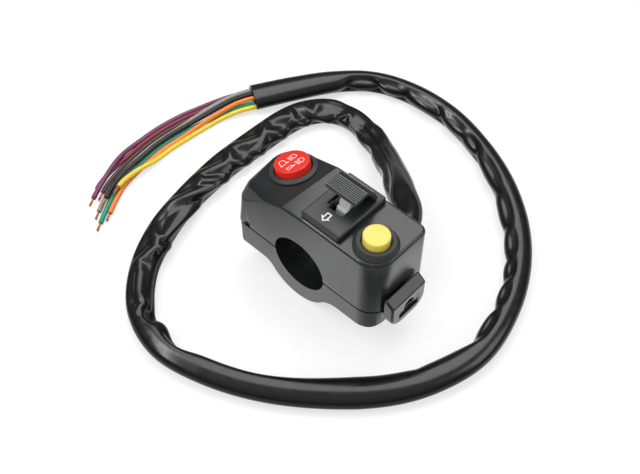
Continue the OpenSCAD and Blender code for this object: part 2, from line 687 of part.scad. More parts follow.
module wire(i) {
    color(wires[i][0]) tube(wire_route(wires[i]), wire_d / 2, 8);
}
module wire_purple() { wire(0); }
module wire_red() { wire(1); }
module wire_brown() { wire(2); }
module wire_grey() { wire(3); }
module wire_black() { wire(4); }
module wire_green() { wire(5); }
module wire_orange() { wire(6); }
module wire_yellow() { wire(7); }

// Twisted copper at the stripped end of each wire
module copper_ends() {
    color("#c8824f") for (w = wires) {
        route = wire_route(w);
        tip = route[len(route) - 1];
        tube([tip, tip + heading(route, len(route) - 1) * copper_l], wire_d / 2 - 0.35, 8);
    }
}

upper_housing();
lower_clamp();
clamp_screws();
lamp_collar();
lamp_cap();
lamp_plunger();
lamp_bridge();
lamp_spring();
lamp_base();
lamp_contacts();
horn_collar();
horn_cap();
horn_plunger();
horn_bridge();
horn_spring();
horn_base();
horn_contacts();
turn_bezel();
lever_knob();
lever_stem();
lever_pin();
detent_spring();
detent_ball();
turn_wiper();
turn_base();
turn_contacts();
cable_gland();
inner_leads();
cable_sleeve();
wire_purple();
wire_red();
wire_brown();
wire_grey();
wire_black();
wire_green();
wire_orange();
wire_yellow();
copper_ends();
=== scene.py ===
from math import atan2, cos, pi, radians, sin, sqrt

import bpy
import numpy as np
from mathutils import Matrix, Vector


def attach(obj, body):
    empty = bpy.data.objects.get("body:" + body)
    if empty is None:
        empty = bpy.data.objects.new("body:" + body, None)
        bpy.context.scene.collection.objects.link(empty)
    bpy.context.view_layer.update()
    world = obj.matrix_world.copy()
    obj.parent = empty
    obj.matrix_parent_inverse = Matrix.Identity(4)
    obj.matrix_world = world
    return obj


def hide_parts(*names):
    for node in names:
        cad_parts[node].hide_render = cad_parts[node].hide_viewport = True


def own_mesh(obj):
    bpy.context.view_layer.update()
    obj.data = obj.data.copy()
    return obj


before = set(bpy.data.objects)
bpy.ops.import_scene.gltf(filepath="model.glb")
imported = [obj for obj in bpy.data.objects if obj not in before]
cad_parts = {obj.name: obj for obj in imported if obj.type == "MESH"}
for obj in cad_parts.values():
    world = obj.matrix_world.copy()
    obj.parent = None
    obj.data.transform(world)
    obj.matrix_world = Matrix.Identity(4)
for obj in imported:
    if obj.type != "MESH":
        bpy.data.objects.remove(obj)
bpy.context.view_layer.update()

# Upper half of the housing: one injection moulding in black ABS. It carries the three switches
# and closes over the handlebar on the lower half, held by two screws from below.
MM = 0.001


def linear(colour):
    """Linear RGBA of an sRGB hex colour."""
    channels = [int(colour[i:i + 2], 16) / 255 for i in (1, 3, 5)]
    return [c / 12.92 if c <= 0.04045 else ((c + 0.055) / 1.055) ** 2.4 for c in channels] + [1.0]


def add(tree, kind, settings=None, links=None):
    """Adds a node, sets its properties or input values, and links its inputs."""
    node = tree.nodes.new(kind)
    for key, value in (settings or {}).items():
        if isinstance(key, int) or key in node.inputs:
            node.inputs[key].default_value = value
        else:
            setattr(node, key, value)
    for key, source in (links or {}).items():
        tree.links.new(source, node.inputs[key])
    return node


def start_material(name, **values):
    """New material with a few values on its shader, and its tree, shader and object coordinates."""
    material = bpy.data.materials.new(name)
    material.use_nodes = True
    tree = material.node_tree
    shader = tree.nodes["Principled BSDF"]
    for key, value in values.items():
        shader.inputs[key.replace("_", " ")].default_value = value
    place = add(tree, "ShaderNodeTexCoord").outputs["Object"]
    return material, tree, shader, place


def noise(tree, place, size, detail=2.0):
    """Cloudy value between 0 and 1 whose largest spots have that size."""
    cloudy = add(tree, "ShaderNodeTexNoise", {"Scale": 1 / size, "Detail": detail}, {"Vector": place})
    return cloudy.outputs["Fac"]


def two_tone(tree, shader, by, dark, light):
    """Colours the shader between two sRGB tones by a value."""
    tone = add(tree, "ShaderNodeMix", {"data_type": "RGBA", 6: linear(dark), 7: linear(light)}, {0: by})
    tree.links.new(tone.outputs[2], shader.inputs["Base Color"])


def gloss(tree, shader, by, first, last, start=0.0, end=1.0):
    """Takes the shader's roughness from first to last as a value goes from start to end."""
    spread = add(tree, "ShaderNodeMapRange",
                 {"From Min": start, "From Max": end, "To Min": first, "To Max": last}, {"Value": by})
    tree.links.new(spread.outputs["Result"], shader.inputs["Roughness"])


def grained(tree, shader, by, strength, depth):
    """Raises and sinks the shader's surface a little by a value."""
    relief = add(tree, "ShaderNodeBump", {"Strength": strength, "Distance": depth}, {"Height": by})
    tree.links.new(relief.outputs["Normal"], shader.inputs["Normal"])


# Satin black ABS from a lightly spark-eroded tool: an even dark grey skin whose sheen wanders a little.
# The eroded grain is about 0.15 mm and is drawn at 0.4 mm so that it shows.
satin_abs, tree, shader, place = start_material("satin_black_abs", IOR=1.58)
flow = noise(tree, place, 14 * MM, 4.0)
grain = noise(tree, place, 0.4 * MM)
two_tone(tree, shader, flow, "#1e1f20", "#262728")
gloss(tree, shader, flow, 0.22, 0.29, 0.3, 0.7)
grained(tree, shader, grain, 0.12, 0.03 * MM)


def only(piece):
    """Makes one object the selected and active one."""
    bpy.ops.object.select_all(action="DESELECT")
    piece.select_set(True)
    bpy.context.view_layer.objects.active = piece


def dress(node, name, body, material, edge=0.0, sharp=32, chosen=None, strips=False):
    """Copy of a CAD node with its facets merged, its sharp edges broken and its round faces smoothed.
    Chosen picks the edges to break by their middle, in mm.
    Strips joins the triangles of flat strips first."""
    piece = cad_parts[node].copy()
    piece.data = piece.data.copy()
    piece.name = name
    bpy.context.collection.objects.link(piece)
    piece.parent = None
    piece.matrix_world = Matrix()
    only(piece)
    bpy.ops.object.mode_set(mode="EDIT")
    bpy.ops.mesh.select_all(action="SELECT")
    bpy.ops.mesh.remove_doubles(threshold=0.002 * MM)
    if edge or strips:
        bpy.ops.mesh.dissolve_limited(angle_limit=radians(1))
    bpy.ops.object.mode_set(mode="OBJECT")
    if edge:
        bevel = piece.modifiers.new("broken_edge", "BEVEL")
        bevel.width = edge
        bevel.segments = 3
        bevel.use_clamp_overlap = False
        bevel.limit_method = "ANGLE"
        bevel.angle_limit = radians(40)
        if chosen:
            bevel.limit_method = "WEIGHT"
            weights = piece.data.attributes.new("bevel_weight_edge", "FLOAT", "EDGE")
            for line, weight in zip(piece.data.edges, weights.data):
                ends = [piece.data.vertices[v].co / MM for v in line.vertices]
                weight.value = float(chosen((ends[0] + ends[1]) / 2))
        bpy.ops.object.modifier_apply(modifier="broken_edge")
    bpy.ops.object.shade_smooth_by_angle(angle=radians(sharp))
    flats = piece.modifiers.new("flat_faces", "WEIGHTED_NORMAL")
    flats.keep_sharp = True
    bpy.ops.object.modifier_apply(modifier="flat_faces")
    piece.data.materials.clear()
    piece.data.materials.append(material)
    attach(piece, body)
    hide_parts(node)
    return piece


dress("upper_housing", "upper_half", "housing", satin_abs)

# Lower half of the housing: the clamp under the bar, moulded in the same black ABS, with a round belly,
# cored flanges and the outlet lug on the horn end.
dress("lower_clamp", "lower_half", "housing", satin_abs, strips=True)

# Clamp screws: two pan head steel screws, zinc plated, driven from below.
# Zinc plate is a bright grey metal with a faint mottled haze of about 2 mm.
zinc, tree, shader, place = start_material("zinc_plated_steel", Metallic=1.0)
haze = noise(tree, place, 2 * MM, 3.0)
two_tone(tree, shader, haze, "#a9adb2", "#c6c9cc")
gloss(tree, shader, haze, 0.24, 0.42)
dress("clamp_screws", "clamp_screw_pair", "housing", zinc, edge=0.12 * MM)

# Insides of the switches: pressed phenolic bases, brass contacts, nylon plungers and the steel pin and ball.
# They are hidden in the closed housing and keep their CAD shapes.
# Phenolic board is pressed from resin and flour, brown with flecks just under 1 mm.
phenolic, tree, shader, place = start_material("pressed_phenolic", IOR=1.6, Roughness=0.55)
fleck = noise(tree, place, 0.8 * MM, 4.0)
two_tone(tree, shader, fleck, "#4f301b", "#6b4429")

# Stamped brass: warm metal with rolling marks along the strip, about 0.3 mm apart.
brass, tree, shader, place = start_material("stamped_brass", Metallic=1.0, Base_Color=linear("#c9a54a"))
across, along = 1 / (0.3 * MM), 1 / (6 * MM)
stretch = add(tree, "ShaderNodeMapping", {"Scale": (across, along, across)}, {"Vector": place})
rolled = noise(tree, stretch.outputs["Vector"], 1.0)
gloss(tree, shader, rolled, 0.22, 0.4)

# Natural nylon: milky off-white, slightly translucent, with a soft sheen.
nylon, tree, shader, place = start_material("natural_nylon", IOR=1.53, Subsurface_Weight=0.2,
                                            Subsurface_Scale=1.0 * MM)
cloud = noise(tree, place, 5 * MM)
two_tone(tree, shader, cloud, "#d2d2cb", "#dededa")
gloss(tree, shader, cloud, 0.38, 0.5)

for material, nodes in (
        (phenolic, ("lamp_base", "horn_base", "turn_base")),
        (brass, ("lamp_bridge", "horn_bridge", "lamp_contacts", "horn_contacts", "turn_wiper",
                 "turn_contacts")),
        (nylon, ("lamp_plunger", "horn_plunger")),
        (zinc, ("lever_pin", "detent_ball"))):
    for node in nodes:
        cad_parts[node].data.materials.clear()
        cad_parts[node].data.materials.append(material)

# Return springs under both buttons and the detent spring in the lever: wound steel wire with closed ends.
# Each stands where its CAD solid is. A return spring shortens by its button's travel when that is pressed.


def wound(name, mean, wire, length, turns, place, body, node, joint=None):
    """Wound compression spring: a round wire on a helix whose end turns lie flat.
    Where a joint is given, the spring gets a mesh of its own."""
    steps = 24
    closed = 0.6
    line = bpy.data.curves.new(name, "CURVE")
    line.dimensions = "3D"
    line.bevel_depth = wire
    line.bevel_resolution = 3
    line.use_fill_caps = True
    spline = line.splines.new("POLY")
    count = int(turns * steps)
    spline.points.add(count)
    for k in range(count + 1):
        share = min(max((k / steps - closed) / (turns - 2 * closed), 0), 1)
        angle = 2 * pi * k / steps
        spline.points[k].co = (mean * cos(angle), mean * sin(angle), wire + (length - 2 * wire) * share, 1)
    piece = bpy.data.objects.new(name, line)
    bpy.context.collection.objects.link(piece)
    only(piece)
    bpy.ops.object.convert(target="MESH")
    piece = bpy.context.object
    piece.data.transform(place)
    bpy.ops.object.shade_smooth()
    piece.data.materials.append(zinc)
    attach(piece, body)
    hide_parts(node)
    if joint:
        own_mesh(piece)


# Middles of the three switches: on the slope, at the horn end and on the lever's pin, turned to its rest
slope = Matrix.Translation(Vector((-17, 3.4, 21.7846)) * MM) @ Matrix.Rotation(radians(-15), 4, "Y")
horn = Matrix.Translation(Vector((25.45, -3.75, 25)) * MM)
lever = Matrix.Translation(Vector((8.6, 0, 24.4)) * MM) @ Matrix.Rotation(radians(-27.5), 4, "X")
wound("lamp_return_spring", 1.75 * MM, 0.25 * MM, 3.1 * MM, 3.6,
      slope @ Matrix.Translation((0, 0, -9.8 * MM)), "housing", "lamp_spring", "lamp_press")
wound("horn_return_spring", 1.25 * MM, 0.2 * MM, 2.9 * MM, 3.6, horn @ Matrix.Translation((0, 0, -10 * MM)),
      "housing", "horn_spring", "horn_press")
wound("lever_detent_spring", 0.9 * MM, 0.18 * MM, 3.2 * MM, 4, lever @ Matrix.Translation((0, 0, -6.2 * MM)),
      "turn_lever", "detent_spring")

# Button bushes: two turned-looking rings moulded in matt dark grey plastic, with a sloping face, a narrow
# flat lip and a bore that guides the cap. Each clips into its hole from above.


def turned(name, profile, place, body, node, material, close=True):
    """Round piece drawn out ring by ring from a circle along (radius, height) points in millimetres.
    Close puts a face over its first and last ring; otherwise the profile comes back to its start."""
    sides = 96
    smooth_below = radians(40)
    bpy.ops.object.select_all(action="DESELECT")
    radius, height = profile[0]
    bpy.ops.mesh.primitive_circle_add(vertices=sides, radius=radius * MM, location=(0, 0, 0))
    piece = bpy.context.object
    piece.name = name
    bpy.ops.object.mode_set(mode="EDIT")
    bpy.ops.mesh.select_all(action="SELECT")
    bpy.ops.transform.translate(value=(0, 0, height * MM))
    for to_radius, to_height in profile[1:]:
        bpy.ops.mesh.extrude_edges_move(TRANSFORM_OT_translate={"value": (0, 0, (to_height - height) * MM)})
        bpy.ops.transform.resize(value=(to_radius / radius, to_radius / radius, 1),
                                 center_override=(0, 0, to_height * MM))
        radius, height = to_radius, to_height
    if close:
        bpy.ops.mesh.edge_face_add()
        bpy.ops.mesh.select_all(action="DESELECT")
        bpy.ops.mesh.select_non_manifold()
        bpy.ops.mesh.edge_face_add()
    bpy.ops.mesh.select_all(action="SELECT")
    bpy.ops.mesh.remove_doubles(threshold=0.002 * MM)
    bpy.ops.mesh.normals_make_consistent(inside=False)
    bpy.ops.object.mode_set(mode="OBJECT")
    piece.data.transform(place)
    bpy.ops.object.shade_smooth_by_angle(angle=smooth_below)
    piece.data.materials.append(material)
    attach(piece, body)
    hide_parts(node)


def rounded(corners, steps=5):
    """Outline through (radius, height, fillet) corners with an arc of steps at each filleted one."""
    line = []
    for i, (x, y, r) in enumerate(corners):
        here = Vector((x, y))
        if not r:
            line.append((x, y))
            continue
        back = (Vector(corners[i - 1][:2]) - here).normalized()
        ahead = (Vector(corners[(i + 1) % len(corners)][:2]) - here).normalized()
        half = back.angle(ahead) / 2
        centre = here + (back + ahead).normalized() * (r / sin(half))
        first = here + back * (r / np.tan(half)) - centre
        last = here + ahead * (r / np.tan(half)) - centre
        for k in range(steps + 1):
            point = centre + first.lerp(last, k / steps).normalized() * r
            line.append((point.x, point.y))
    return line


# Matt grey ABS: a fine even texture that spreads all reflections, 0.25 mm grain drawn at 0.35 mm.
matt_abs, tree, shader, place = start_material("matt_grey_abs", IOR=1.53)
grain = noise(tree, place, 0.35 * MM)
flow = noise(tree, place, 6 * MM)
two_tone(tree, shader, flow, "#2c2e2f", "#353738")
gloss(tree, shader, flow, 0.5, 0.62)
grained(tree, shader, grain, 0.25, 0.03 * MM)


def bush(name, flange, lip, rise, bore, neck, depth, guide, place, node):
    """Bush with these radii, its rise over the seat and its depth under it, in mm.
    A ledge at its foot guides the plunger."""
    rim, mouth, ledge = 0.5, 0.3, 1
    profile = rounded([
        (guide, -depth, 0), (neck, -depth, 0), (neck, 0, 0), (flange, 0, 0), (flange, rim, 0.2),
        (lip, rise, 0.3), (bore + mouth, rise, 0.12), (bore, rise - mouth, 0), (bore, ledge - depth, 0),
        (guide, ledge - depth, 0)])
    turned(name, profile + profile[:1], place, "housing", node, matt_abs, close=False)


bush("lamp_bush", 8.45, 7.1, 1.2, 6.6, 7.3, 3.2, 2.5, slope, "lamp_collar")
bush("horn_bush", 7.5, 6.4, 2.4, 4.85, 5.45, 4, 1.9, horn, "horn_collar")

# Push button caps: smooth moulded ABS, one red and one yellow, each with a softly rounded rim
# and a slight dome. They ride on plungers in the bushes.


def cap_profile(foot_r, top_r, foot, top, dome, rim):
    """Outline of a cap from its open foot up its wall and over its dome, in mm."""
    skirt = 1.2
    wall = rounded([(foot_r, foot, 0), (top_r, top, rim), (0, top, 0)])[:-1]
    crown, height = wall[-1]
    steps = 8
    return [(foot_r - skirt, foot)] + wall + [
        (crown * (1 - k / steps), height + dome * (1 - (1 - k / steps) ** 2)) for k in range(1, steps)]


def cap_plastic(name, dark, light):
    """Glossy coloured ABS: clear even colour, faint flow marks and a few fine rubs in the gloss."""
    material, tree, shader, place = start_material(name, IOR=1.53, Subsurface_Weight=0.08,
                                                   Subsurface_Scale=0.8 * MM)
    flow = noise(tree, place, 5 * MM, 3.0)
    rub = noise(tree, place, 0.5 * MM)
    two_tone(tree, shader, flow, dark, light)
    gloss(tree, shader, rub, 0.22, 0.34)
    return material


red_abs = cap_plastic("gloss_red_abs", "#ea2c1e", "#f03829")
yellow_abs = cap_plastic("gloss_yellow_abs", "#f6da5c", "#fbe36c")
lamp_size = {"foot_r": 6.3, "top_r": 6.1, "foot": 0.3, "top": 3.5, "dome": 0.25, "rim": 0.4}
horn_size = {"foot_r": 4.55, "top_r": 4.45, "foot": 0.4, "top": 5.0, "dome": 0.3, "rim": 0.5}
turned("lamp_button_cap", cap_profile(**lamp_size), slope, "lamp_button", "lamp_cap", red_abs)
turned("horn_button_cap", cap_profile(**horn_size), horn, "horn_button", "horn_cap", yellow_abs)

# Lamp symbols on the red cap: four outlined lamps pad printed in white.
# Pad printing ink is matt, a few microns thick with slightly thin patches; it is drawn to stand 0.03 mm high.
white_ink, tree, shader, place = start_material("white_pad_ink", Roughness=0.6)
patch = noise(tree, place, 0.6 * MM)
two_tone(tree, shader, patch, "#f3eae8", "#fdfbfa")


def inset(outline, by):
    """The outline moved inwards by a distance; it runs anticlockwise."""
    line = []
    for i, here in enumerate(map(Vector, outline)):
        back = (here - Vector(outline[i - 1])).normalized()
        ahead = (Vector(outline[(i + 1) % len(outline)]) - here).normalized()
        inward = (Vector((-back.y, back.x)) + Vector((-ahead.y, ahead.x))) / (1 + back.dot(ahead))
        line.append(tuple(here + inward * by))
    return line


def printed(name, strokes, fills, place, body, lie=lambda x, y: 0.0, line=0.24):
    """Flat print: outlined strokes and filled patches in mm on a piece's own plane, laid on its surface."""
    high = 0.03 * MM
    ink = bpy.data.curves.new(name, "CURVE")
    ink.dimensions = "2D"
    ink.fill_mode = "BOTH"
    ink.extrude = high
    for outline in [edge for stroke in strokes for edge in (stroke, inset(stroke, line))] + fills:
        spline = ink.splines.new("POLY")
        spline.points.add(len(outline) - 1)
        spline.use_cyclic_u = True
        for point, (x, y) in zip(spline.points, outline):
            point.co = (x * MM, y * MM, 0, 1)
    piece = bpy.data.objects.new(name, ink)
    bpy.context.collection.objects.link(piece)
    only(piece)
    bpy.ops.object.convert(target="MESH")
    piece = bpy.context.object
    for vertex in piece.data.vertices:
        vertex.co.z += lie(vertex.co.x / MM, vertex.co.y / MM) * MM
    piece.data.transform(place)
    piece.data.materials.append(white_ink)
    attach(piece, body)


def lamp_outline(x, y):
    """Lamp glass with its flat back at y and its round front towards +y."""
    half, deep = 1.15, 0.9
    front = [(x + half * cos(a), y + deep + half * sin(a)) for a in np.radians(range(0, 181, 20))]
    return [(x + half, y)] + front + [(x - half, y)]


def beam(x, y):
    """Four short rays behind a lamp glass."""
    near, far, wide = y - 0.35, y - 1.35, 0.26
    return [[(left, far), (left + wide, far), (left + wide, near), (left, near)]
            for left in (x - 1.1, x - 0.48, x + 0.14, x + 0.76)]


left_lamp, right_lamp = (-1.1, 1.2), (2.6, 1.15)
wide_lamp = [(-0.4, -4.35), (-0.4, -1.9), (-0.8, -1.5), (-1.5, -1.3), (-2.4, -1.35), (-3, -1.75),
             (-3.3, -2.4), (-3.1, -3.2)]
wide_lamp_neck = [(-0.75, -1.55), (-0.3, -1.75), (-0.1, -0.95), (-0.5, -0.85)]
slim_lamp = [(2.55, -4.2), (2.75, -1.75), (1.6, -1.65), (1.25, -3.9)]
slim_lamp_neck = [(2.1, -1.7), (2.7, -1.75), (2.75, -0.9), (2.3, -0.85)]
crown_r = lamp_size["top_r"] - lamp_size["rim"]
printed("lamp_symbols", [lamp_outline(*left_lamp), lamp_outline(*right_lamp), wide_lamp, slim_lamp],
        beam(*left_lamp) + beam(*right_lamp) + [wide_lamp_neck, slim_lamp_neck], slope, "lamp_button",
        lie=lambda x, y: lamp_size["top"] + lamp_size["dome"] * (1 - (x * x + y * y) / crown_r ** 2))

# Bezel of the turn switch: raised plate with the slot of the lever, moulded in the same ABS from a finely
# blasted tool, so that it is duller than the housing, and pressed onto the top.
bezel_abs = satin_abs.copy()
bezel_abs.name = "fine_matt_black_abs"
duller = next(n for n in bezel_abs.node_tree.nodes if n.bl_idname == "ShaderNodeMapRange")
duller.inputs["To Min"].default_value = 0.38
duller.inputs["To Max"].default_value = 0.46


def bezel_edge(middle):
    """Share of the rounding on an edge with that middle: only the plate's two long top edges have one."""
    middle_x, half_width, seat_z = 8.6, 8.1, 25.1
    if abs(abs(middle.x - middle_x) - half_width) > 0.02 or middle.z < seat_z:
        return 0.0
    return 1.0 if middle.x > middle_x else 0.6


dress("turn_bezel", "turn_plate", "housing", bezel_abs, edge=1.0 * MM, chosen=bezel_edge)

# Arrows on the bezel: white pad print like the lamp symbols, one to either side of the lever.
# The far one is under the knob.
arrow = [(8.95, -5.85), (7.0, -5.85), (7.0, -8.0), (6.1, -7.85), (7.95, -9.65), (9.8, -7.85), (8.95, -8.0)]
top_plane = Matrix.Translation((0, 0, 27.4 * MM))
printed("near_arrow", [arrow], [], top_plane, "housing", line=0.42)
printed("far_arrow", [[(x, -y) for x, y in reversed(arrow)]], [], top_plane, "housing", line=0.42)

# Lever of the turn switch: ribbed black thumb knob pressed on a grey acetal stem that turns on a steel pin.
# The knob is moulded in black ABS; its rib crests are painted light grey as a painted highlight, in patches of about
# 2 mm, and its groove floors near-black as painted shade.
ribbed_abs, tree, shader, place = start_material("ribbed_black_abs", IOR=1.58)
# Painted highlight on the rib crests and painted shade in the grooves, from the faces' crest marks, in patches
crest_light_marks = add(tree, "ShaderNodeAttribute", {"attribute_name": "crest"})
scuffs_and_light_patches = noise(tree, place, 2 * MM, 4.0)
patchy_painted_rib_light = add(tree, "ShaderNodeMapRange", {"From Min": 0.3, "From Max": 0.7, "To Min": 0.75, "To Max": 1.0},
             {"Value": scuffs_and_light_patches})
patchy_painted_rib_light = add(tree, "ShaderNodeMath", {"operation": "MULTIPLY"},
             {0: patchy_painted_rib_light.outputs["Result"], 1: crest_light_marks.outputs["Fac"]})
two_tone(tree, shader, patchy_painted_rib_light.outputs[0], "#0b0b0c", "#5c5d5e")
gloss(tree, shader, patchy_painted_rib_light.outputs[0], 0.5, 0.3)
knob = dress("lever_knob", "ribbed_knob", "turn_lever", ribbed_abs, sharp=20)
crest = knob.data.attributes.new("crest", "FLOAT", "FACE")
to_lever = lever.inverted()
# The roof falls 3.2 mm over 4.45 mm of width from its ridge; a groove's floor lies 0.5 mm under the ribs
ridge_y, ridge_z, roof, groove = 1.25, 10.7, atan2(3.2, 4.45), 0.5
# Marks for the painted light: 1 on the rib crests, 0.3 on the rib sides and 0 on the groove floors
for face, mark in zip(knob.data.polygons, crest.data):
    at, out = to_lever @ face.center / MM, to_lever.to_3x3() @ face.normal
    under = (ridge_z - at.z) * cos(roof) - (abs(at.y) - ridge_y) * sin(roof)
    on_roof = out.z > 0.6
    mark.value = 1.0 if on_roof and under < groove / 2 else 0.3 if not on_roof else 0.0

# Grey acetal: a waxy moulding with faint flow streaks of about 1 mm.
acetal, tree, shader, place = start_material("grey_acetal", IOR=1.48)
streak = noise(tree, place, 1.2 * MM, 3.0)
two_tone(tree, shader, streak, "#bfc1c1", "#d8d8d7")
gloss(tree, shader, streak, 0.22, 0.34)
dress("lever_stem", "lever_arm", "turn_lever", acetal, edge=0.15 * MM)

# Cable gland: black rubber bush moulded with a groove, pulled into the hole in the back wall.
# Its nose grips the sleeve. Rubber is dull, with a soft bloom of about 3 mm.
rubber, tree, shader, place = start_material("black_rubber", IOR=1.52)
bloom = noise(tree, place, 3 * MM, 3.0)
two_tone(tree, shader, bloom, "#19191a", "#262627")
gloss(tree, shader, bloom, 0.55, 0.72)
gland_profile = rounded([
    (3.4, 8.8, 0), (5.2, 8.8, 0.3), (5.4, 10.5, 0), (4.9, 10.5, 0), (4.9, 12.7, 0), (6.5, 12.7, 0.15),
    (6.4, 14, 0.6), (5.6, 17, 0.3), (4.9, 17, 0), (4.9, 15, 0), (3.4, 15, 0)])
outlet = Matrix.Translation(Vector((18.5, 0, 5.5)) * MM) @ Matrix.Rotation(radians(-90), 4, "X")
turned("rubber_gland", gland_profile + gland_profile[:1], outlet, "housing", "cable_gland", rubber,
       close=False)

# Leads inside the housing: three bundles of black PVC wire from the switches to the gland, soldered
# at the contacts. Extruded PVC has a soft gloss with faint drawing marks.


def smooth_route(points, steps):
    """Points along the smooth curve through a list of points, steps to each stretch."""
    points = np.array(points, float)
    last = len(points) - 1
    line = []
    for k in range(last * steps + 1):
        i = min(k // steps, last - 1)
        t = k / steps - i
        p0, p1, p2, p3 = points[max(i - 1, 0)], points[i], points[i + 1], points[min(i + 2, last)]
        line.append(0.5 * (2 * p1 + (p2 - p0) * t + (2 * p0 - 5 * p1 + 4 * p2 - p3) * t ** 2
                           + (3 * p1 - p0 - 3 * p2 + p3) * t ** 3))
    return np.array(line)


def drawn(name, lines, radius, material, resolution=5):
    """Round wire of that radius along each line, as one curve object."""
    wire = bpy.data.curves.new(name, "CURVE")
    wire.dimensions = "3D"
    wire.bevel_depth = radius
    wire.bevel_resolution = resolution
    wire.use_fill_caps = True
    for line in lines:
        spline = wire.splines.new("POLY")
        spline.points.add(len(line) - 1)
        for point, to in zip(spline.points, line):
            point.co = (*to, 1)
        spline.use_smooth = True
    piece = bpy.data.objects.new(name, wire)
    bpy.context.collection.objects.link(piece)
    wire.materials.append(material)
    return piece


def wire_pvc(name, dark, light):
    """Extruded PVC insulation: clear colour with a waxy gloss and slight drawing marks."""
    material, tree, shader, place = start_material(name, IOR=1.53, Subsurface_Weight=0.05,
                                                   Subsurface_Scale=0.4 * MM)
    mark = noise(tree, place, 2.5 * MM, 3.0)
    two_tone(tree, shader, mark, dark, light)
    gloss(tree, shader, mark, 0.28, 0.42)
    return material


lead_pvc = wire_pvc("black_lead_pvc", "#151516", "#1f1f21")
leads = (
    [(-13.5, 6.8, 7.6), (-11.3, 8.9, 9.3), (-8.5, 9.2, 12.6), (-4, 9.2, 15.6), (2, 9.2, 17.2),
     (8.5, 8.6, 16.4), (13.4, 7.2, 12.4), (16.2, 6.4, 9), (17.2, 7.6, 7.2), (17.2, 9.2, 7.1), (17.2, 11, 7.1)],
    [(22.8, -3.7, 10.3), (23.5, 0, 10.5), (23.4, 3.8, 10.3), (21.8, 6.2, 7.8), (20.4, 7.8, 6.3),
     (20.3, 9.2, 6.2), (20.3, 11, 6.2)],
    [(13.1, 3, 14), (15.2, 4.2, 12.8), (16.9, 5.8, 8.6), (17.9, 6.8, 4.8), (18.2, 8, 3.8), (18.2, 9.4, 3.6),
     (18.2, 11, 3.6)])
inside = drawn("switch_leads", [smooth_route(lead, 6) * MM for lead in leads], 1 * MM, lead_pvc)
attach(inside, "housing")
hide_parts("inner_leads")

# Cable sleeve: slack black PVC tube over the wires, held by the gland. It lies once round the housing,
# flattened by its own slackness and buckled into soft folds where it bends.
FLOOR = -18.6
SLEEVE_HEIGHT = 7.4
LIE = FLOOR + SLEEVE_HEIGHT / 2
sleeve_route = [
    (18.5, 15, 5.5), (18.5, 17, 5.5), (18.5, 19, 5.5), (17.3, 23, 5.3), (13.4, 28, 4.3), (6.5, 33.5, 1.8),
    (-1, 40, -2.2), (-9, 46.5, -6.8), (-17, 52.5, -10.8), (-24, 57, LIE + 1), (-32, 60.5, LIE),
    (-41.5, 62, LIE),
    (-50.5, 59.5, LIE), (-57, 52.5, LIE), (-60, 42.5, LIE), (-60.8, 26.5, LIE), (-61, 8.5, LIE),
    (-58.5, -12.5, LIE),
    (-54, -28.5, LIE), (-46, -43.5, LIE), (-34, -55, LIE), (-18.5, -60, LIE), (-2.5, -57.5, LIE),
    (15.5, -50, LIE),
    (32.5, -38, LIE), (48, -22.5, LIE), (57, -7, LIE), (61, 10.5, LIE), (57.5, 30.5, LIE), (49, 48.5, LIE),
    (37, 63, LIE), (21.5, 75.5, LIE), (3.5, 84.5, LIE), (-15.5, 89.5, LIE), (-34.5, 89, LIE),
    (-50, 83.5, LIE), (-62, 72, LIE), (-71, 58.5, LIE), (-79.5, 43.5, LIE)]


def ease(t):
    """Soft step from 0 to 1 while t goes from 0 to 1."""
    t = np.clip(t, 0, 1)
    return t * t * (3 - 2 * t)


